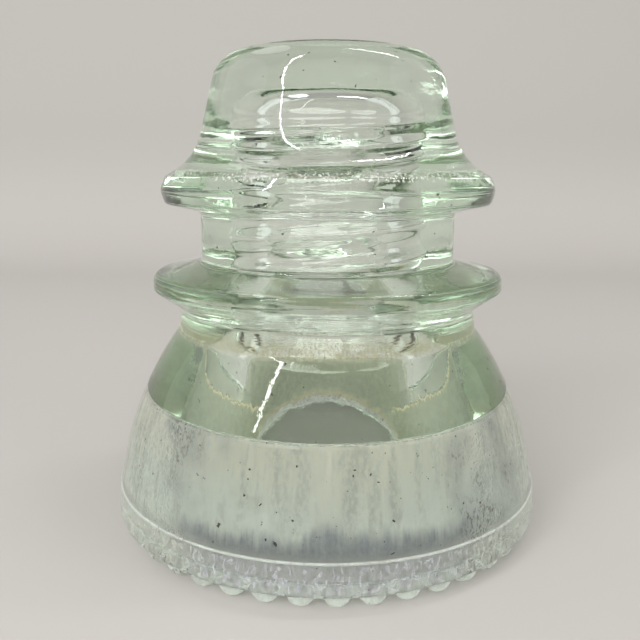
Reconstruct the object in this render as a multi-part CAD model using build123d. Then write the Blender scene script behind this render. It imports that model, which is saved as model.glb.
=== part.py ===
"""Pin insulator for an overhead line, moulded in one piece of pressed glass.

It stands on the tips of its drip points, on the plane z = 0, with its axis on Z.
From the top down it has a domed crown, an upper ridge, the wire groove, a lower ridge, a neck
and a bell-shaped skirt, which ends in a base ring with a row of drip points.
Underneath, a ring-shaped hollow parts the skirt from the inner petticoat around the pin hole.
The pin hole is blind. Its lower chamber widens towards the mouth and clears the pin's shank,
and above a shoulder it is bored for a standard pin, with a coarse right-hand thread.
All sizes are in millimetres. The outline is drawn from the drip points' tips upwards,
so a change of one height moves all that stands above it.
"""

import math
import os

from build123d import *

# Drip points under the base ring, with twelve sides each so that the row stays light
DRIP_POINTS = 42
FIRST_DRIP_ANGLE = 6.38
DRIP_SIDES = 12
DRIP_RADIUS = 2.73
DRIP_TIP_RADIUS = 1.3
DRIP_BEVEL_HEIGHT = 1.5
DRIP_DROP = 3.0

# Bell skirt, with the mould seam as a thin raised line above the base ring
SKIRT_RADIUS = 44.45
SKIRT_HEIGHT = 40.6
BELL_CURVE_RADIUS = 67.3
SKIRT_WALL = 7.25
SEAM_HEIGHT = 9.2
SEAM_WIDTH = 0.7
SEAM_PROUD = 0.15
BASE_RING_HEIGHT = 5.0
BASE_RING_INSET = 0.5

# Neck
NECK_HEIGHT = 4.5
NECK_WAIST = 0.45
NECK_TOP_ROUND = 2.2

# Lower ridge
LOWER_RIDGE_OVERHANG = 4.95
LOWER_RIDGE_UNDERCUT = 4.0
LOWER_RIDGE_EDGE = 3.0
LOWER_RIDGE_SLOPE = 1.8
LOWER_RIDGE_ROUND = 1.8

# Wire groove
GROOVE_DEPTH = 9.8
GROOVE_WIDTH = 10.4
GROOVE_CORNER = 1.2

# Upper ridge
UPPER_RIDGE_OVERHANG = 7.85
UPPER_RIDGE_SLOPE = 1.6
UPPER_RIDGE_LOWER_FACE = 2.7
UPPER_RIDGE_UPPER_FACE = 2.6
UPPER_RIDGE_LOWER_INSET = 0.85
UPPER_RIDGE_UPPER_INSET = 1.15
UPPER_RIDGE_ROUND = 3.0

# Crown
CROWN_HEIGHT = 25.3
CROWN_FOOT_RISE = 3.65
CROWN_FOOT_OUTSET = 0.7
CROWN_FOOT_ROUND = 11.5
CROWN_SHOULDER_INSET = 4.7
CROWN_SHOULDER_ROUND = 7.0
CROWN_DOME_RISE = 2.3

# Hollow between the skirt and the petticoat
HOLLOW_TOP = 26.0
HOLLOW_TOP_WIDTH = 2.0
HOLLOW_MOUTH_WIDTH = 9.2
HOLLOW_TAPER = 2.2

# Petticoat and the pin hole's lower chamber
LIP_HEIGHT = 3.2
LIP_THICKNESS = 3.2
CHAMBER_WAIST_CLEARANCE = 7.3
CHAMBER_WAIST_HEIGHT = 19.6
CHAMBER_TOP_CLEARANCE = 4.9
CHAMBER_TOP = 32.3
CHAMBER_CURVE_RADIUS = 30.0
SHOULDER_HEIGHT = 9.2
SHOULDER_ROUND = 3.0

# Pin thread and the blind end above it
THREAD_CREST_RADIUS = 12.7
THREAD_PITCH = 6.35
THREAD_DEPTH = 0.8
THREAD_CREST_GAP = 2.8
THREAD_ROOT_WIDTH = 1.2
THREAD_RUN_OUT = 1.5
CROWN_THICKNESS = 10.8
HOLE_TOP_BEVEL = 3.6

# Bevel on the bottom edges of the base ring and the petticoat
EDGE_BEVEL = 0.7


def bell_radius(height):
    """Radius of the bell skirt, an arc whose centre lies level with the drip points' tips."""
    return SKIRT_RADIUS - BELL_CURVE_RADIUS + math.sqrt(BELL_CURVE_RADIUS**2 - height**2)


# Radii and heights that follow from the sizes above
hollow_mouth_radius = SKIRT_RADIUS - SKIRT_WALL
hollow_top_radius = hollow_mouth_radius - HOLLOW_TAPER
lip_outer_radius = hollow_mouth_radius - HOLLOW_MOUTH_WIDTH
lip_inner_radius = lip_outer_radius - LIP_THICKNESS
neck_foot_radius = bell_radius(SKIRT_HEIGHT)
lower_ridge_radius = neck_foot_radius + LOWER_RIDGE_OVERHANG
groove_radius = lower_ridge_radius - GROOVE_DEPTH
upper_ridge_radius = groove_radius + UPPER_RIDGE_OVERHANG
crown_foot_radius = groove_radius + CROWN_FOOT_OUTSET
crown_radius = crown_foot_radius - CROWN_SHOULDER_INSET

neck_top = SKIRT_HEIGHT + NECK_HEIGHT
lower_ridge_bottom = neck_top + LOWER_RIDGE_UNDERCUT
lower_ridge_top = lower_ridge_bottom + LOWER_RIDGE_EDGE
groove_bottom = lower_ridge_top + LOWER_RIDGE_SLOPE
groove_top = groove_bottom + GROOVE_WIDTH
upper_ridge_bottom = groove_top + UPPER_RIDGE_SLOPE
upper_ridge_middle = upper_ridge_bottom + UPPER_RIDGE_LOWER_FACE
upper_ridge_top = upper_ridge_middle + UPPER_RIDGE_UPPER_FACE
top = upper_ridge_top + CROWN_HEIGHT
thread_bottom = CHAMBER_TOP + SHOULDER_HEIGHT
hole_top = top - CROWN_THICKNESS
thread_top = hole_top - HOLE_TOP_BEVEL


def rounded(corners):
    """Open outline through points that each come with the radius of their corner."""
    points = [point for point, _ in corners]
    radii = [radius for _, radius in corners[1:-1]]
    return FilletPolyline(*points, radius=radii)


def base():
    """Outline of the base ring, from the bell down past the seam and in to the hollow's mouth."""
    seam_top = SEAM_HEIGHT + SEAM_WIDTH / 2
    seam_bottom = SEAM_HEIGHT - SEAM_WIDTH / 2
    ring_top_radius = SKIRT_RADIUS - BASE_RING_INSET
    return Polyline(
        (bell_radius(seam_top), seam_top),
        (bell_radius(SEAM_HEIGHT) + SEAM_PROUD, SEAM_HEIGHT),
        (ring_top_radius, seam_bottom),
        (SKIRT_RADIUS, BASE_RING_HEIGHT),
        (SKIRT_RADIUS, DRIP_DROP + EDGE_BEVEL),
        (SKIRT_RADIUS - EDGE_BEVEL, DRIP_DROP),
        (hollow_mouth_radius, DRIP_DROP),
    )


def bell():
    """Outline of the bell skirt, from the mould seam up to the foot of the neck."""
    seam_top = SEAM_HEIGHT + SEAM_WIDTH / 2
    return RadiusArc(
        (bell_radius(seam_top), seam_top), (neck_foot_radius, SKIRT_HEIGHT), -BELL_CURVE_RADIUS
    )


def neck_and_ridges():
    """Outline from the neck's foot up over both ridges to the shoulder of the crown."""
    return rounded(
        [
            ((neck_foot_radius, SKIRT_HEIGHT), 0),
            ((neck_foot_radius - NECK_WAIST, neck_top), NECK_TOP_ROUND),
            ((lower_ridge_radius, lower_ridge_bottom), 0),
            ((lower_ridge_radius, lower_ridge_top), LOWER_RIDGE_ROUND),
            ((groove_radius, groove_bottom), GROOVE_CORNER),
            ((groove_radius, groove_top), GROOVE_CORNER),
            ((upper_ridge_radius - UPPER_RIDGE_LOWER_INSET, upper_ridge_bottom), 0),
            ((upper_ridge_radius, upper_ridge_middle), UPPER_RIDGE_ROUND),
            ((upper_ridge_radius - UPPER_RIDGE_UPPER_INSET, upper_ridge_top), 0),
            ((crown_foot_radius, upper_ridge_top + CROWN_FOOT_RISE), CROWN_FOOT_ROUND),
            ((crown_radius, top - CROWN_DOME_RISE), 0),
        ]
    )


def dome():
    """Outline of the crown's dome, an arc that is level on the axis."""
    dome_radius = (crown_radius**2 + CROWN_DOME_RISE**2) / (2 * CROWN_DOME_RISE)
    return RadiusArc((0, top), (crown_radius, top - CROWN_DOME_RISE), dome_radius)


def hollow():
    """Outline of the ring-shaped hollow, up the skirt's inner wall and down the petticoat."""
    return Polyline(
        (hollow_mouth_radius, DRIP_DROP),
        (hollow_top_radius, HOLLOW_TOP),
        (hollow_top_radius - HOLLOW_TOP_WIDTH, HOLLOW_TOP),
        (lip_outer_radius, LIP_HEIGHT + EDGE_BEVEL),
        (lip_outer_radius - EDGE_BEVEL, LIP_HEIGHT),
        (lip_inner_radius + EDGE_BEVEL, LIP_HEIGHT),
        (lip_inner_radius, LIP_HEIGHT + EDGE_BEVEL),
    )


def pin_hole():
    """Outline of the pin hole from its mouth to its blind end, bored to the thread's crests."""
    waist_radius = THREAD_CREST_RADIUS + CHAMBER_WAIST_CLEARANCE
    chamber_top_radius = THREAD_CREST_RADIUS + CHAMBER_TOP_CLEARANCE
    return rounded(
        [
            ((lip_inner_radius, LIP_HEIGHT + EDGE_BEVEL), 0),
            ((waist_radius, CHAMBER_WAIST_HEIGHT), CHAMBER_CURVE_RADIUS),
            ((chamber_top_radius, CHAMBER_TOP), SHOULDER_ROUND),
            ((THREAD_CREST_RADIUS, thread_bottom), 0),
            ((THREAD_CREST_RADIUS, thread_top), 0),
            ((THREAD_CREST_RADIUS - HOLE_TOP_BEVEL, hole_top), 0),
            ((0, hole_top), 0),
        ]
    )


def turned_body():
    """The glass without thread or drip points: its outline turned about the axis."""
    axis_line = Line((0, hole_top), (0, top))
    outline = base() + bell() + neck_and_ridges() + dome() + hollow() + pin_hole() + axis_line
    section = make_face(outline)
    shoulder = section.vertices().sort_by_distance((crown_radius, top - CROWN_DOME_RISE))[0]
    return revolve(Plane.XZ * fillet(shoulder, CROWN_SHOULDER_ROUND), Axis.Z)


def thread_groove():
    """Groove of the pin thread, a right-hand helix with sloping flanks and a flat root."""
    bottom = thread_bottom + THREAD_RUN_OUT
    length = thread_top - THREAD_RUN_OUT - bottom
    path = Pos(0, 0, bottom) * Helix(THREAD_PITCH, length, THREAD_CREST_RADIUS)
    flank = (THREAD_CREST_GAP - THREAD_ROOT_WIDTH) / 2
    inner_half_width = THREAD_CREST_GAP / 2 + flank
    section = Polygon(
        (-THREAD_DEPTH, -inner_half_width),
        (-THREAD_DEPTH, inner_half_width),
        (THREAD_DEPTH, THREAD_ROOT_WIDTH / 2),
        (THREAD_DEPTH, -THREAD_ROOT_WIDTH / 2),
        align=None,
    )
    start = Plane(origin=path @ 0, x_dir=(1, 0, 0), z_dir=path % 0)
    return sweep(start * section, path=path, is_frenet=True)


def drip_points():
    """The ring of drip points: short pegs, bevelled towards the tip, with roots in the glass."""
    tip = RegularPolygon(DRIP_TIP_RADIUS, DRIP_SIDES)
    shaft = Pos(0, 0, DRIP_BEVEL_HEIGHT) * RegularPolygon(DRIP_RADIUS, DRIP_SIDES)
    root_height = DRIP_DROP + EDGE_BEVEL - DRIP_BEVEL_HEIGHT
    point = loft([tip, shaft]) + extrude(shaft, amount=root_height)
    ring_radius = (SKIRT_RADIUS + hollow_mouth_radius) / 2
    ring = PolarLocations(ring_radius, DRIP_POINTS, start_angle=FIRST_DRIP_ANGLE)
    return [place * point for place in ring]


insulator = turned_body() - thread_groove() + drip_points()

os.makedirs("parts", exist_ok=True)
export_step(insulator, "parts/glass_body.step")
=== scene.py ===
"""Glass pin insulator: the moulded glass with its thread, drip points, dust and rain dirt.

The glass is one closed mesh that replaces the CAD solid. Its outline is turned about Z in rows of
points, the base ring is opened for the round drip points, and the thread is a height field.
Sizes are in millimetres until the mesh is made, and again in its material.
"""

import math

import bmesh
import bpy
from mathutils import Matrix


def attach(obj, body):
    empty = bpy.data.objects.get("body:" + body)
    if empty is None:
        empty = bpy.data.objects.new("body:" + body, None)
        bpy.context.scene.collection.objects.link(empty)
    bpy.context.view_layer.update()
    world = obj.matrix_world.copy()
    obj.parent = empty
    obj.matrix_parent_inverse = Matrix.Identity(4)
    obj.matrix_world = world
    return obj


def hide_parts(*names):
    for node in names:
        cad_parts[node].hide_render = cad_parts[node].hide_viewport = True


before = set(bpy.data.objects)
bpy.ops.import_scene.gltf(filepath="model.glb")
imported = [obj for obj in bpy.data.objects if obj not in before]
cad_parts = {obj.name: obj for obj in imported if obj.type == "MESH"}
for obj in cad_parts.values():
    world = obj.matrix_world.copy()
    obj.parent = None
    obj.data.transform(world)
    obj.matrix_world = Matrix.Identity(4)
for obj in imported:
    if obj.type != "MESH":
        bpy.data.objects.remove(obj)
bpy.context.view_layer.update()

MM = 0.001

# Rows of the mesh: the base ring has one cell per drip point
DRIP_POINTS = 42
CELL_STEPS = 6
SEGMENTS = DRIP_POINTS * CELL_STEPS
CELL_DEPTH_STEPS = 3
OUTER_STEP = 1.9
INNER_STEP = 2.6

# Drip points: round beads on the base ring
BEAD_RADIUS = 2.73
BEAD_CIRCLE = 40.83
FIRST_BEAD = math.radians(6.38)
BEAD_RINGS = 7
RING_HEIGHT = 3.0
RING_OUTER = 43.75
RING_INNER = 37.9

# Pin thread, right-handed
THREAD_CREST = 12.7
THREAD_DEPTH = 0.7
THREAD_PITCH = 6.35
THREAD_HALF_GAP = 2.6
THREAD_BOTTOM = 43.0
THREAD_TOP = 80.6
THREAD_RUN_OUT = 2.0
THREAD_STEP = 0.45

# Bell skirt: one arc, whose centre lies level with the drip points' tips
BELL_TOP = 40.6
BELL_BOTTOM = 9.55
BELL_CURVE = 67.3
BELL_CENTRE = -22.85
BELL_ROWS = 20

# Outline of the outside from the top of the dome down: radius, height, round of the corner
CROWN_AND_RIDGES = [
    (0.0, 96.5, 0),
    (8.8, 96.5, 100),
    (22.0, 94.2, 7),
    (26.7, 74.85, 11.5),
    (32.7, 71.2, 0.5),
    (33.85, 68.6, 3),
    (33.0, 65.9, 0.9),
    (26.0, 64.35, 1.2),
    (26.0, 53.9, 1.2),
    (35.75, 52.1, 1.8),
    (35.8, 49.1, 0.5),
    (30.4, 45.1, 2.2),
    (30.82, BELL_TOP, 0),
]
SEAM_AND_BASE = [
    (44.05, 9.2, 0.15),
    (43.95, 8.8, 0.15),
    (44.45, 5.0, 6),
    (44.45, RING_HEIGHT, 0.8),
    (43.0, RING_HEIGHT, 0),
]

# Outline of the inside, from the base ring in to the foot of the thread
HOLLOW_AND_CHAMBER = [
    (38.6, RING_HEIGHT, 0),
    (37.2, RING_HEIGHT, 0.6),
    (35.0, 26.0, 0.8),
    (33.0, 26.0, 1.0),
    (28.0, 3.2, 1.2),
    (24.8, 3.2, 1.2),
    (20.0, 19.6, 30),
    (17.6, 32.3, 3),
    (THREAD_CREST, 41.5, 0.6),
    (THREAD_CREST, THREAD_BOTTOM, 0),
]
HOLE_TOP = 85.7
HOLE_END = [(THREAD_CREST, THREAD_TOP, 0), (THREAD_CREST, HOLE_TOP, 4.8), (0.0, HOLE_TOP, 0)]

# Rounded corners: widest angle and longest run between two rows
ARC_ANGLE = math.radians(10)
ARC_STEP = 1.6

# Creases sharper than this stay sharp in the shading
SHARP_FROM = math.radians(34)

# Zones of the material: a mask rises from 0 at the first number to 1 at the second
HOLLOW_OUTSIDE = (38.4, 38.0)
HOLLOW_TOP = (26.8, 26.4)
OUTSIDE_LIP = (25.9, 26.3)
INSIDE_LIP = (26.3, 25.9)
WALL_SIDE = (33.9, 34.3)
WALL_FOOT = (5.0, 8.5)
CHAMBER_TOP = (42.0, 41.0)
BEHIND = (-6.0, 6.0)
FLANK = (0.16, 0.40)
TIPS_TOP = (3.3, 2.9)
TIPS_INSIDE = (37.4, 37.8)
SPECKS_FROM = (20.0, 21.0)
OUTER_SURFACE = (17.0, 19.0)

# Belts round the outside: masks of their foot, their top and their inner radius
CREASE = ((39.4, 40.8), (45.2, 41.6), (26.0, 28.0))
RIDGE_EDGE = ((70.3, 70.8), (72.3, 71.8), (30.4, 31.0))
# The seam's belt carries a painted highlight, a pale ring along the mould seam
SEAM_HIGHLIGHT = ((8.85, 9.05), (9.55, 9.35), (42.5, 43.0))
BASE_RING = ((3.2, 4.5), (9.0, 8.4), (43.0, 43.4))
NECK = ((40.5, 42.0), (51.5, 50.0), (26.0, 28.0))

# Ragged edges of the dust in the chamber: heights and how far they jag
LOW_EDGE = 4.3
LOW_EDGE_JAGS = 2.6
HIGH_EDGE = 23.0
HIGH_EDGE_JAGS = 4.0
HIGH_EDGE_RISE_BEHIND = 6.4
LOW_RIM = 2.4
HIGH_RIM = 1.2

# Painted shade as a grey band at the foot of the wall: its top, how far noise moves that, and its
# soft edge
BAND_TOP = 2.2
BAND_PATCHES = 9.0
BAND_STREAKS = 7.0
BAND_BELOW = 2.2
BAND_ABOVE = 1.8
BAND_SIDES = (0.62, 0.30)

# Speckles of the wall: most halfway between front and side
SPECKLES_HALFWAY = 1.3
SPECKLES_LESS = 0.22

# The wall's dust turns from the low to the high colour here, moved by patches of noise
DUST_TURNS = (19.0, 31.0)
DUST_TURNS_DRIFT = 16.0

# How much of the glass each kind of dirt hides, with the painted highlight on the seam and
# painted light on the drip points' tips
WALL_COVER = 0.46
WALL_COVER_PART = 0.16
WALL_FOOT_COVER = 0.2
PETTICOAT_COVER = 0.15
CHAMBER_COVER_FRONT = 0.10
CHAMBER_COVER_SIDES = 0.38
CHAMBER_COVER_BEHIND = 0.82
RIM_COVER = 0.8
CREASE_COVER = 0.45
CHIP_COVER = 0.75
# Painted highlight along the mould seam
SEAM_HIGHLIGHT_COVER = 0.5
BLOOM_COVER = 0.34
# Painted light: paler drip-point tips where they face down into shade
TIP_PAINTED_LIGHT_COVER = 0.40
SPECK_COVER = 0.9
SPECKLE_COVER = 1.1
MOST_COVER = 0.95

# Share of light that goes through the dust, and its roughness
DUST_THROUGH = 0.5
DUST_ROUGHNESS = 0.6

# Roughness of the glass under the dust
WALL_ROUGHNESS = 0.22
WALL_ROUGHNESS_STREAKS = 0.3
PETTICOAT_ROUGHNESS = 0.12
CHAMBER_ROUGHNESS = 0.15

# Unevenness of the surface, as shares of the depth of its bumps
BUMP_DEPTH = 0.35 * MM
WAVES = 0.45
NECK_LINES = 0.22
OUTSIDE_GRIT = 0.06
HOLLOW_GRIT = 0.25


def rgb(red, green, blue):
    """A colour with full alpha."""
    return (red, green, blue, 1.0)


GLASS_TINT = rgb(0.54, 0.86, 0.54)
TINT_DENSITY = 9.0
REFRACTION = 1.52

LOW_DUST = rgb(0.91, 0.95, 0.91)
HIGH_DUST = rgb(0.95, 0.93, 0.83)
WORN_DUST = rgb(0.71, 0.73, 0.68)
# Grey of the dirt patches where the wall is speckled, and painted shade in the band at the wall's
# foot
GRIME_AND_PAINTED_SHADE = rgb(0.34, 0.36, 0.41)
SPECKLES = rgb(0.13, 0.12, 0.09)
CHAMBER_DUST_DARK = rgb(0.46, 0.48, 0.34)
CHAMBER_DUST_PALE = rgb(0.78, 0.80, 0.64)
CHAMBER_RIM = rgb(0.92, 0.84, 0.60)
CHIPPED_GLASS = rgb(0.95, 0.95, 0.92)
# Weathering bloom on the base ring; lilac in front as a painted iridescent sheen
BLOOM_WITH_PAINTED_SHEEN_IN_FRONT = rgb(0.82, 0.79, 0.93)
BLOOM_AT_SIDES = rgb(0.94, 0.95, 0.84)
CREASE_DIRT = rgb(0.46, 0.42, 0.22)
BLACK_SPECKS = rgb(0.02, 0.018, 0.012)

FLOOR_PAPER = rgb(0.46, 0.44, 0.42)
BACK_PAPER = rgb(0.37, 0.362, 0.337)
PAPER_TURNS = (0.0, 0.12)
PAPER_ROUGHNESS = 0.7
ROOM_LIGHT = rgb(1.0, 0.98, 0.94)
ROOM_STRENGTH = 0.40

# Floor sweep in metres: how far it reaches to each side, to the front and up
FLOOR_SIDE = 1.8
FLOOR_FRONT = -1.2
BEND_START = 0.35
BEND_RADIUS = 0.35
BEND_STEPS = 16
BACK_HEIGHT = 1.6

# Camera, fitted to the photograph
SENSOR = 36
LENS = 41.115
CLIP_START = 0.005
EYE = (-1.492 * MM, -152.88 * MM, 72.816 * MM)
LOOK_DOWN = math.radians(11.7565)
ROLL = math.radians(0.1827)


def rounded(corners):
    """Points along an outline whose corners are rounded off by arcs."""
    points = [corners[0][:2]]
    for before, corner, after in zip(corners, corners[1:], corners[2:]):
        points.extend(corner_arc(before, corner, after))
    points.append(corners[-1][:2])
    return points


def corner_arc(before, corner, after):
    """Points of the arc that rounds one corner, or the corner itself where it is sharp."""
    x, y, radius = corner
    if radius == 0:
        return [(x, y)]
    to_before = math.atan2(before[1] - y, before[0] - x)
    to_after = math.atan2(after[1] - y, after[0] - x)
    opening = abs((to_after - to_before + math.pi) % math.tau - math.pi)
    reach = radius / math.tan(opening / 2)
    bisector = math.atan2(
        math.sin(to_before) + math.sin(to_after), math.cos(to_before) + math.cos(to_after)
    )
    to_centre = radius / math.sin(opening / 2)
    centre_x = x + to_centre * math.cos(bisector)
    centre_y = y + to_centre * math.sin(bisector)
    first = math.atan2(
        y + reach * math.sin(to_before) - centre_y, x + reach * math.cos(to_before) - centre_x
    )
    last = math.atan2(
        y + reach * math.sin(to_after) - centre_y, x + reach * math.cos(to_after) - centre_x
    )
    turn = (last - first + math.pi) % math.tau - math.pi
    steps = max(3, int(abs(turn) / ARC_ANGLE) + 1, int(abs(turn) * radius / ARC_STEP) + 1)
    angles = [first + turn * k / steps for k in range(steps + 1)]
    return [
        (centre_x + radius * math.cos(a), centre_y + radius * math.sin(a)) for a in angles
    ]


def divided(points, step):
    """The same outline with its long runs cut into rows of about one step."""
    rows = [points[0]]
    for start, end in zip(points, points[1:]):
        pieces = max(1, math.ceil(math.dist(start, end) / step))
        for k in range(1, pieces + 1):
            share = k / pieces
            rows.append(
                (start[0] + (end[0] - start[0]) * share, start[1] + (end[1] - start[1]) * share)
            )
    return rows


def bell():
    """Rows of the bell skirt."""
    rows = []
    for k in range(1, BELL_ROWS + 1):
        height = BELL_TOP - (BELL_TOP - BELL_BOTTOM) * k / BELL_ROWS
        rows.append((BELL_CENTRE + math.sqrt(BELL_CURVE**2 - height**2), height))
    return rows


def thread_radius(height, angle):
    """Radius of the threaded hole, whose groove has the soft edges of pressed glass."""
    turns = (height - THREAD_BOTTOM) / THREAD_PITCH - angle / math.tau
    from_groove = abs((turns + 0.5) % 1 - 0.5) * THREAD_PITCH
    share = max(0, 1 - from_groove / THREAD_HALF_GAP)
    depth = share * share * (3 - 2 * share)
    from_end = min(height - THREAD_BOTTOM, THREAD_TOP - height)
    run_out = max(0, min(1, from_end / THREAD_RUN_OUT))
    return THREAD_CREST + THREAD_DEPTH * depth * run_out


def thread_heights():
    """Heights of the rows above the foot of the thread."""
    length = THREAD_TOP - THREAD_BOTTOM
    rows = math.ceil(length / THREAD_STEP)
    return [THREAD_BOTTOM + length * k / rows for k in range(1, rows + 1)]


def add_row(mesh, radius, height):
    """One ring of points; radius may be a function of height and angle."""
    row = []
    for k in range(SEGMENTS):
        angle = FIRST_BEAD + math.tau * (k - CELL_STEPS / 2) / SEGMENTS
        here = radius(height, angle) if callable(radius) else radius
        point = (here * math.cos(angle) * MM, here * math.sin(angle) * MM, height * MM)
        row.append(mesh.verts.new(point))
    return row


def join_rows(mesh, upper, lower):
    """Quads between two rings of points."""
    count = len(upper)
    for k in range(count):
        after = (k + 1) % count
        mesh.faces.new((upper[k], upper[after], lower[after], lower[k]))


def close_to_point(mesh, row, place):
    """Triangles from a ring to one new point."""
    apex = mesh.verts.new(place)
    for k, point in enumerate(row):
        mesh.faces.new((point, row[(k + 1) % len(row)], apex))


def add_outline(mesh, points, step, last_row=None):
    """Rings along an outline, joined one to the next; returns the last ring."""
    for radius, height in divided(points, step):
        row = add_row(mesh, radius, height)
        if last_row:
            join_rows(mesh, last_row, row)
        last_row = row
    return last_row


def add_bead(mesh, border, angle):
    """One drip point: a round bead whose rim is joined to the border of its cell."""
    centre_x = BEAD_CIRCLE * math.cos(angle)
    centre_y = BEAD_CIRCLE * math.sin(angle)
    middle = BEAD_RADIUS
    first = math.asin((RING_HEIGHT - middle) / BEAD_RADIUS)
    last_row = border
    for ring in range(BEAD_RINGS):
        tilt = first - (first + math.pi / 2) * ring / BEAD_RINGS
        across = BEAD_RADIUS * math.cos(tilt)
        height = middle + BEAD_RADIUS * math.sin(tilt)
        row = []
        for point in border:
            heading = math.atan2(point.co.y / MM - centre_y, point.co.x / MM - centre_x)
            place = (
                (centre_x + across * math.cos(heading)) * MM,
                (centre_y + across * math.sin(heading)) * MM,
                height * MM,
            )
            row.append(mesh.verts.new(place))
        join_rows(mesh, last_row, row)
        last_row = row
    close_to_point(mesh, last_row, (centre_x * MM, centre_y * MM, 0))


def side_points(mesh, outer_point, inner_point):
    """The points between two cells, along the line from the outer ring to the inner one."""
    count = CELL_DEPTH_STEPS
    return [
        mesh.verts.new(outer_point.co.lerp(inner_point.co, k / count)) for k in range(1, count)
    ]


def add_beads(mesh, outer, inner):
    """The base ring between two rings of points, with a bead in each of its cells."""
    starts = [CELL_STEPS * k for k in range(DRIP_POINTS)]
    sides = [side_points(mesh, outer[s], inner[s]) for s in starts]
    for number, start in enumerate(starts):
        end = start + CELL_STEPS
        outer_edge = [outer[k % SEGMENTS] for k in range(start, end + 1)]
        inner_edge = [inner[k % SEGMENTS] for k in range(start, end + 1)]
        far_side = sides[(number + 1) % DRIP_POINTS]
        border = outer_edge + far_side + inner_edge[::-1] + sides[number][::-1]
        add_bead(mesh, border, FIRST_BEAD + math.tau * number / DRIP_POINTS)


def glass_mesh():
    """The whole glass as one closed mesh."""
    mesh = bmesh.new()
    outside = rounded(CROWN_AND_RIDGES) + bell()
    seam = rounded([(outside[-1][0], outside[-1][1], 0)] + SEAM_AND_BASE)
    outside = outside[1:] + seam[1:]
    first_row = add_row(mesh, *outside[0])
    close_to_point(mesh, first_row, (0, 0, CROWN_AND_RIDGES[0][1] * MM))
    outer = add_outline(mesh, outside[1:-1], OUTER_STEP, first_row)
    outer_ring = add_row(mesh, RING_OUTER, RING_HEIGHT)
    join_rows(mesh, outer, outer_ring)
    inner_ring = add_row(mesh, RING_INNER, RING_HEIGHT)
    add_beads(mesh, outer_ring, inner_ring)
    inside = rounded(HOLLOW_AND_CHAMBER)[1:]
    last_row = add_outline(mesh, inside, INNER_STEP, inner_ring)
    for height in thread_heights():
        row = add_row(mesh, thread_radius, height)
        join_rows(mesh, last_row, row)
        last_row = row
    end = rounded(HOLE_END)
    last_row = add_outline(mesh, end[1:-1], INNER_STEP, last_row)
    close_to_point(mesh, last_row, (0, 0, HOLE_TOP * MM))
    bmesh.ops.recalc_face_normals(mesh, faces=mesh.faces)
    return mesh


def glass_piece():
    """The glass as an object that replaces the CAD solid."""
    data = bpy.data.meshes.new("glass_body_look")
    mesh = glass_mesh()
    mesh.to_mesh(data)
    mesh.free()
    for face in data.polygons:
        face.use_smooth = True
    data.set_sharp_from_angle(angle=SHARP_FROM)
    piece = bpy.data.objects.new("glass_body_look", data)
    bpy.context.scene.collection.objects.link(piece)
    return piece


class Nodes:
    """Short calls that add nodes to one material and join them."""

    def __init__(self, name):
        self.material = bpy.data.materials.new(name)
        self.material.use_nodes = True
        self.tree = self.material.node_tree
        self.tree.nodes.clear()
        self.output = self.tree.nodes.new("ShaderNodeOutputMaterial")

    def add(self, kind, settings=None, **inputs):
        """A node with its settings, its inputs joined or set by name."""
        node = self.tree.nodes.new(kind)
        for name, value in (settings or {}).items():
            setattr(node, name, value)
        for name, value in inputs.items():
            self.feed(node.inputs[name.replace("_", " ")], value)
        return node

    def feed(self, socket, value):
        """Joins a socket to another node's output, or sets its value."""
        if isinstance(value, bpy.types.NodeSocket):
            self.tree.links.new(value, socket)
        else:
            socket.default_value = value

    def math(self, operation, *values):
        """One sum; later values may be left out."""
        node = self.add("ShaderNodeMath", {"operation": operation})
        for socket, value in zip(node.inputs, values):
            self.feed(socket, value)
        return node.outputs[0]

    def smooth(self, value, low, high):
        """Rises from 0 at low to 1 at high; falls where low is the larger."""
        settings = {"interpolation_type": "SMOOTHSTEP"}
        if isinstance(low, float) and isinstance(high, float) and low > high:
            rise = self.smooth(value, high, low)
            return self.math("SUBTRACT", 1.0, rise)
        node = self.add("ShaderNodeMapRange", settings, Value=value)
        self.feed(node.inputs["From Min"], low)
        self.feed(node.inputs["From Max"], high)
        return node.outputs["Result"]

    def noise(self, place, scale, detail=3.0, roughness=0.55):
        """Plain noise, about 0.5 on average."""
        node = self.add(
            "ShaderNodeTexNoise", Vector=place, Scale=scale, Detail=detail, Roughness=roughness
        )
        return node.outputs[0]

    def stretched(self, place, across, along):
        """The same place with its height scaled apart, which draws noise out along Z."""
        node = self.add("ShaderNodeMapping", Vector=place)
        node.inputs["Scale"].default_value = (across, across, along)
        return node.outputs[0]

    def both(self, *values):
        """Product of several masks."""
        result = values[0]
        for value in values[1:]:
            result = self.math("MULTIPLY", result, value)
        return result

    def colour(self, factor, first, second):
        """Blend of two colours."""
        node = self.add("ShaderNodeMix", {"data_type": "RGBA"})
        self.feed(node.inputs[0], factor)
        self.feed(node.inputs[6], first)
        self.feed(node.inputs[7], second)
        return node.outputs[2]


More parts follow.
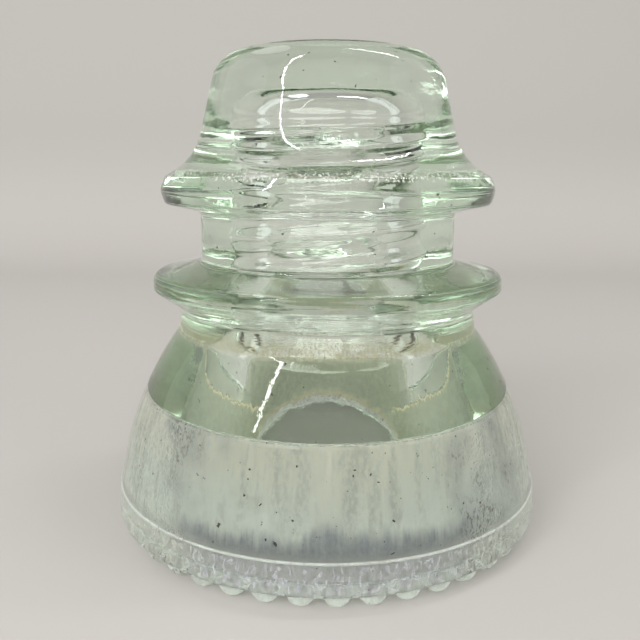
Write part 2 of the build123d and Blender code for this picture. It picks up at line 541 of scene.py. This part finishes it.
class Places:
    """Where a point of the glass lies, in millimetres, and which zone it is in."""

    def __init__(self, n):
        here = n.add("ShaderNodeTexCoord").outputs["Object"]
        scaled = n.add("ShaderNodeVectorMath", {"operation": "SCALE"}, Vector=here)
        scaled.inputs["Scale"].default_value = 1 / MM
        self.point = scaled.outputs[0]
        self.x, self.y, self.z = n.add("ShaderNodeSeparateXYZ", Vector=self.point).outputs
        across, along = n.both(self.x, self.x), n.both(self.y, self.y)
        self.radius = n.math("SQRT", n.math("ADD", across, along))

        # 0 in front and behind, 1 at the sides
        self.sideways = n.math("DIVIDE", across, n.both(self.radius, self.radius))
        self.flank = n.smooth(self.sideways, *FLANK)
        self.behind = n.smooth(self.y, *BEHIND)

        # The hollow has the skirt's inner wall on one side and the petticoat on the other
        under = n.both(n.smooth(self.radius, *HOLLOW_OUTSIDE), n.smooth(self.z, *HOLLOW_TOP))
        self.hollow = n.both(under, n.smooth(self.radius, *OUTSIDE_LIP))
        self.wall = n.both(self.hollow, n.smooth(self.radius, *WALL_SIDE))
        self.petticoat = n.math("SUBTRACT", self.hollow, self.wall)
        within = n.smooth(self.radius, *INSIDE_LIP)
        self.chamber = n.both(within, n.smooth(self.z, *CHAMBER_TOP))

    def belt(self, n, foot, top, inner):
        """Mask of one belt round the outside."""
        height = n.both(n.smooth(self.z, *foot), n.smooth(self.z, *top))
        return n.both(height, n.smooth(self.radius, *inner))


class Textures:
    """The noises that the dust, the dirt and the surface share: scale, detail, roughness."""

    def __init__(self, n, point):
        self.streaks = n.noise(n.stretched(point, 1.0, 0.06), 0.55, 3.0, 0.65)
        self.mottling = n.noise(point, 0.4, 3.0, 0.7)
        self.grain = n.noise(n.stretched(point, 1.0, 0.45), 1.8, 2.0, 0.7)
        self.patches = n.noise(n.stretched(point, 1.0, 0.6), 0.09, 2.0, 0.6)
        self.ragged = n.noise(n.stretched(point, 1.0, 0.0), 0.7, 4.0, 0.75)
        self.dots = n.noise(point, 0.8, 2.0, 0.5)
        self.waves = n.noise(n.stretched(point, 1.0, 1.3), 0.09, 2.0, 0.5)
        self.lines = n.noise(n.stretched(point, 0.03, 1.0), 1.3, 2.0, 0.6)


def wall_dust(n, at, tex):
    """Dust on the skirt's inner wall in rain streaks, thinner at its foot."""
    dust = WALL_COVER
    for pattern in (
        n.smooth(tex.streaks, 0.38, 0.62),
        n.smooth(tex.mottling, 0.35, 0.65),
        n.smooth(tex.grain, 0.35, 0.65),
    ):
        dust = n.math("MULTIPLY_ADD", pattern, WALL_COVER_PART, dust)
    above_foot = n.smooth(at.z, *WALL_FOOT)
    return n.both(
        dust, n.math("MULTIPLY_ADD", above_foot, 1 - WALL_FOOT_COVER, WALL_FOOT_COVER)
    )


def speckling(n, at, tex):
    """How speckled the wall is, most halfway between front and side."""
    halfway = n.both(at.sideways, n.math("SUBTRACT", 1.0, at.sideways))
    patches = n.math("SUBTRACT", tex.patches, SPECKLES_LESS)
    return n.math("MULTIPLY_ADD", halfway, SPECKLES_HALFWAY, patches)


def chamber_dust(n, at, tex):
    """Dust in the lower chamber between two ragged edges, and the rims along these."""
    low_edge = n.math("MULTIPLY_ADD", tex.ragged, LOW_EDGE_JAGS, LOW_EDGE)
    high_edge = n.math("MULTIPLY_ADD", at.behind, HIGH_EDGE_RISE_BEHIND, HIGH_EDGE)
    high_edge = n.math("MULTIPLY_ADD", tex.ragged, HIGH_EDGE_JAGS, high_edge)
    above_low = n.smooth(at.z, low_edge, n.math("ADD", low_edge, 0.25))
    past_high = n.smooth(at.z, high_edge, n.math("ADD", high_edge, 0.3))
    between = n.both(above_low, n.math("SUBTRACT", 1.0, past_high))

    past_low_rim = n.smooth(at.z, low_edge, n.math("ADD", low_edge, LOW_RIM))
    high_rim = n.smooth(at.z, n.math("SUBTRACT", high_edge, HIGH_RIM), high_edge)
    rims = n.math("MAXIMUM", n.math("SUBTRACT", 1.0, past_low_rim), high_rim)
    rims = n.both(at.chamber, between, rims, n.math("MAXIMUM", at.behind, at.flank))

    front = n.math("MULTIPLY_ADD", at.flank, CHAMBER_COVER_SIDES, CHAMBER_COVER_FRONT)
    behind = n.math("MULTIPLY", at.behind, CHAMBER_COVER_BEHIND)
    thickness = n.math("MAXIMUM", front, behind)
    dust = n.both(at.chamber, between, thickness, n.math("MULTIPLY_ADD", tex.mottling, 0.6, 0.7))
    return n.math("MAXIMUM", dust, n.math("MULTIPLY", rims, RIM_COVER)), rims


class DirtAndPaintedLight:
    """Masks of what lies on the outside, and of painted light on the seam and the drip points'
    tips, each 0 to 1.
    """

    def __init__(self, n, at, tex):
        self.crease = n.both(at.belt(n, *CREASE), n.smooth(tex.grain, 0.28, 0.60))
        self.specks = n.both(n.smooth(tex.dots, 0.73, 0.75), n.smooth(at.radius, *SPECKS_FROM))
        some_places = n.smooth(tex.patches, 0.36, 0.50)
        self.chips = n.both(at.belt(n, *RIDGE_EDGE), n.smooth(tex.grain, 0.55, 0.59), some_places)
        # Painted highlight: a pale ring along the mould seam
        self.seam = at.belt(n, *SEAM_HIGHLIGHT)
        uneven = n.math("MULTIPLY_ADD", n.smooth(tex.grain, 0.46, 0.66), 0.75, 0.25)
        self.bloom = n.both(at.belt(n, *BASE_RING), uneven)
        # Painted light: the drip points' tips made paler where they face down into shade
        self.tips = n.both(n.smooth(at.z, *TIPS_TOP), n.smooth(at.radius, *TIPS_INSIDE))


def dust_and_painted_light_cover(n, at, tex, dirt, inside_dust, speckles):
    """How much of the glass dust, dirt and painted light hide, from 0 to 1."""
    cover = n.both(at.wall, wall_dust(n, at, tex))
    cover = n.math("MULTIPLY_ADD", n.both(at.petticoat, tex.mottling), PETTICOAT_COVER, cover)
    cover = n.math("ADD", cover, inside_dust)
    cover = n.math("MULTIPLY_ADD", dirt.crease, CREASE_COVER, cover)
    cover = n.math("MAXIMUM", cover, n.math("MULTIPLY", dirt.chips, CHIP_COVER))
    # Painted highlight: a pale ring along the mould seam
    cover = n.math("MAXIMUM", cover, n.math("MULTIPLY", dirt.seam, SEAM_HIGHLIGHT_COVER))
    cover = n.math("MAXIMUM", cover, n.math("MULTIPLY", dirt.bloom, BLOOM_COVER))
    # Painted light: the drip points' tips made paler where they face down into shade
    cover = n.math("MULTIPLY_ADD", dirt.tips, TIP_PAINTED_LIGHT_COVER, cover)
    cover = n.math("MAXIMUM", cover, n.math("MULTIPLY", dirt.specks, SPECK_COVER))
    dark = n.both(at.wall, speckles, n.math("MULTIPLY", tex.grain, SPECKLE_COVER))
    return n.math("MINIMUM", n.math("MAXIMUM", cover, dark), MOST_COVER)


def dust_and_painted_light_colour(n, at, tex, dirt, rims, speckled, speckles):
    """Colour of the dust and dirt, with painted shade at the wall's foot and a painted sheen on
    the bloom in front.
    """
    drift = n.math("MULTIPLY_ADD", tex.patches, DUST_TURNS_DRIFT, at.z)
    colour = n.colour(n.smooth(drift, *DUST_TURNS), LOW_DUST, HIGH_DUST)
    worn = n.both(n.smooth(tex.streaks, 0.62, 0.36), n.smooth(tex.grain, 0.62, 0.38))
    colour = n.colour(worn, colour, WORN_DUST)

    # Painted shade as a grey band above the seam in front, and grey dirt patches where the wall
    # is speckled
    band_top = n.math("MULTIPLY_ADD", tex.patches, BAND_PATCHES, BAND_TOP)
    band_top = n.math("MULTIPLY_ADD", tex.streaks, BAND_STREAKS, band_top)
    fades_from = n.math("SUBTRACT", band_top, BAND_BELOW)
    past_band = n.smooth(at.z, fades_from, n.math("ADD", band_top, BAND_ABOVE))
    # Painted shade: the band darkens the wall's foot in front and behind
    painted_shade_band = n.both(n.math("SUBTRACT", 1.0, past_band), n.smooth(at.sideways, *BAND_SIDES))
    patches = n.math("MULTIPLY", n.smooth(speckled, 0.44, 0.70), 0.4)
    colour = n.colour(n.both(at.wall, n.math("MAXIMUM", painted_shade_band, patches)), colour, GRIME_AND_PAINTED_SHADE)
    colour = n.colour(dirt.chips, colour, CHIPPED_GLASS)
    colour = n.colour(speckles, colour, SPECKLES)

    in_chamber = n.colour(tex.grain, CHAMBER_DUST_DARK, CHAMBER_DUST_PALE)
    in_chamber = n.colour(rims, in_chamber, CHAMBER_RIM)
    colour = n.colour(at.chamber, colour, in_chamber)
    # Weathering bloom on the base ring; its lilac in front is a painted iridescent sheen
    colour = n.colour(dirt.bloom, colour, n.colour(at.flank, BLOOM_WITH_PAINTED_SHEEN_IN_FRONT, BLOOM_AT_SIDES))
    colour = n.colour(dirt.crease, colour, CREASE_DIRT)
    return n.colour(dirt.specks, colour, BLACK_SPECKS)


def surface_normal(n, at, tex):
    """Waves of pressed glass, fine lines round the neck and the grit of the hollow."""
    outside = n.smooth(at.radius, *OUTER_SURFACE)
    neck_lines = n.both(at.belt(n, *NECK), tex.lines)
    height = n.both(outside, n.math("MULTIPLY", tex.waves, WAVES))
    height = n.math("MULTIPLY_ADD", neck_lines, NECK_LINES, height)
    height = n.math("MULTIPLY_ADD", n.both(outside, tex.mottling), OUTSIDE_GRIT, height)
    height = n.math("MULTIPLY_ADD", n.both(at.hollow, tex.mottling), HOLLOW_GRIT, height)
    return n.add("ShaderNodeBump", Strength=1.0, Distance=BUMP_DEPTH, Height=height).outputs[0]


def bare_glass(n, at, tex, inside_dust):
    """Shader of the glass where nothing lies on it, dull where it is dusty."""
    streaky = n.math("MULTIPLY_ADD", tex.streaks, WALL_ROUGHNESS_STREAKS, WALL_ROUGHNESS)
    rough = n.both(at.wall, streaky)
    rough = n.math("MULTIPLY_ADD", at.petticoat, PETTICOAT_ROUGHNESS, rough)
    rough = n.math("MULTIPLY_ADD", inside_dust, CHAMBER_ROUGHNESS, rough)
    normal = surface_normal(n, at, tex)
    glass = n.add("ShaderNodeBsdfPrincipled", Roughness=rough, Normal=normal)
    glass.inputs["Base Color"].default_value = rgb(1.0, 1.0, 1.0)
    glass.inputs["Transmission Weight"].default_value = 1.0
    glass.inputs["IOR"].default_value = REFRACTION
    return glass.outputs[0]


def mixed(n, factor, first, second):
    """Blend of two shaders."""
    mix = n.add("ShaderNodeMixShader", Fac=factor)
    n.feed(mix.inputs[1], first)
    n.feed(mix.inputs[2], second)
    return mix.outputs[0]


def glass_material():
    """Clear, faintly green glass, with dust inside and dirt in its grooves."""
    n = Nodes("moulded_glass")
    at = Places(n)
    tex = Textures(n, at.point)
    dirt = DirtAndPaintedLight(n, at, tex)
    inside_dust, rims = chamber_dust(n, at, tex)
    speckled = speckling(n, at, tex)
    speckles = n.both(n.smooth(tex.grain, 0.50, 0.60), n.smooth(speckled, 0.52, 0.76))

    # The colour holds dust and dirt, and also painted shade and a painted sheen
    colour = dust_and_painted_light_colour(n, at, tex, dirt, rims, speckled, speckles)
    reflected = n.add("ShaderNodeBsdfDiffuse", Color=colour, Roughness=DUST_ROUGHNESS)
    through = n.add("ShaderNodeBsdfTranslucent", Color=colour)
    dust = mixed(n, DUST_THROUGH, reflected.outputs[0], through.outputs[0])
    # The cover also lays a painted highlight on the seam and painted light on the tips
    cover = dust_and_painted_light_cover(n, at, tex, dirt, inside_dust, speckles)
    surface = mixed(n, cover, bare_glass(n, at, tex, inside_dust), dust)
    n.feed(n.output.inputs["Surface"], surface)

    tint = n.add("ShaderNodeVolumeAbsorption")
    tint.inputs["Color"].default_value = GLASS_TINT
    tint.inputs["Density"].default_value = TINT_DENSITY
    n.feed(n.output.inputs["Volume"], tint.outputs[0])
    return n.material


def paper_material():
    """Pale paper, a little darker where it runs up at the back."""
    n = Nodes("floor_paper")
    here = n.add("ShaderNodeTexCoord").outputs["Object"]
    height = n.add("ShaderNodeSeparateXYZ", Vector=here).outputs["Z"]
    tone = n.colour(n.smooth(height, *PAPER_TURNS), FLOOR_PAPER, BACK_PAPER)
    shader = n.add("ShaderNodeBsdfPrincipled", Roughness=PAPER_ROUGHNESS)
    n.feed(shader.inputs["Base Color"], tone)
    n.feed(n.output.inputs["Surface"], shader.outputs[0])
    return n.material


def studio():
    """Pale floor that runs up into the backdrop in one curve."""
    profile = [(FLOOR_FRONT, 0.0), (BEND_START, 0.0)]
    for k in range(1, BEND_STEPS + 1):
        angle = math.pi / 2 * k / BEND_STEPS
        y = BEND_START + BEND_RADIUS * math.sin(angle)
        profile.append((y, BEND_RADIUS - BEND_RADIUS * math.cos(angle)))
    profile.append((BEND_START + BEND_RADIUS, BACK_HEIGHT))
    points = [(side, y, z) for y, z in profile for side in (-FLOOR_SIDE, FLOOR_SIDE)]
    faces = [(2 * k, 2 * k + 1, 2 * k + 3, 2 * k + 2) for k in range(len(profile) - 1)]
    data = bpy.data.meshes.new("floor")
    data.from_pydata(points, [], faces)
    for face in data.polygons:
        face.use_smooth = True
    floor = bpy.data.objects.new("floor", data)
    bpy.context.scene.collection.objects.link(floor)
    data.materials.append(paper_material())


def lamp(name, place, target, size, power, mirrored=True):
    """A soft oval lamp that faces a target; one that isn't mirrored leaves no highlight."""
    data = bpy.data.lights.new(name, "AREA")
    data.shape = "ELLIPSE"
    data.size, data.size_y = size
    data.energy = power
    light = bpy.data.objects.new(name, data)
    light.location = place
    heading = Matrix.Translation(place).inverted() @ Matrix.Translation(target)
    light.rotation_euler = heading.translation.to_track_quat("-Z", "Y").to_euler()
    light.visible_camera = False
    light.visible_glossy = mirrored
    bpy.context.scene.collection.objects.link(light)


def lights():
    """Plain soft studio light: name, place, target, size in metres and watts of each lamp."""
    world = bpy.data.worlds.new("room")
    bpy.context.scene.world = world
    world.use_nodes = True
    background = world.node_tree.nodes["Background"]
    background.inputs["Color"].default_value = ROOM_LIGHT
    background.inputs["Strength"].default_value = ROOM_STRENGTH
    lamp("left_tube", (-0.48, -0.50, 0.75), (-0.05, -0.1, 0.05), (0.028, 0.8), 1.6)
    lamp("right_tube", (0.34, 0.05, 0.80), (0.05, 0.0, 0.05), (0.028, 0.5), 1.0)
    lamp("right_card_low", (1.0, -0.75, 0.40), (0, 0, 0.03), (0.9, 0.6), 6.0, mirrored=False)
    lamp("left_card", (-1.3, 0.15, 0.55), (0, 0, 0.05), (1.8, 1.4), 3.0)
    lamp("right_card", (1.3, 0.15, 0.55), (0, 0, 0.05), (1.8, 1.4), 2.6)
    lamp("front_lamp", (-0.4, -1.2, 0.62), (0, 0, 0.03), (2.4, 0.9), 31.0, mirrored=False)
    lamp("back_lamp", (-0.5, 0.45, 1.1), (0, 0.5, 0.1), (0.7, 0.4), 1.0)


def camera():
    """Camera at the photograph's place, for a square picture."""
    data = bpy.data.cameras.new("camera")
    data.sensor_width = SENSOR
    data.lens = LENS
    data.clip_start = CLIP_START
    eye = bpy.data.objects.new("camera", data)
    tilt = Matrix.Rotation(math.pi / 2 - LOOK_DOWN, 3, "X")
    roll = Matrix.Rotation(ROLL, 3, "Z")
    eye.rotation_euler = (tilt @ roll).to_euler()
    eye.location = EYE
    bpy.context.scene.collection.objects.link(eye)
    bpy.context.scene.camera = eye


camera()
studio()
lights()
glass = glass_piece()
glass.data.materials.append(glass_material())
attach(glass, "root")
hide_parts("glass_body")
bpy.context.scene.view_settings.view_transform = "Standard"
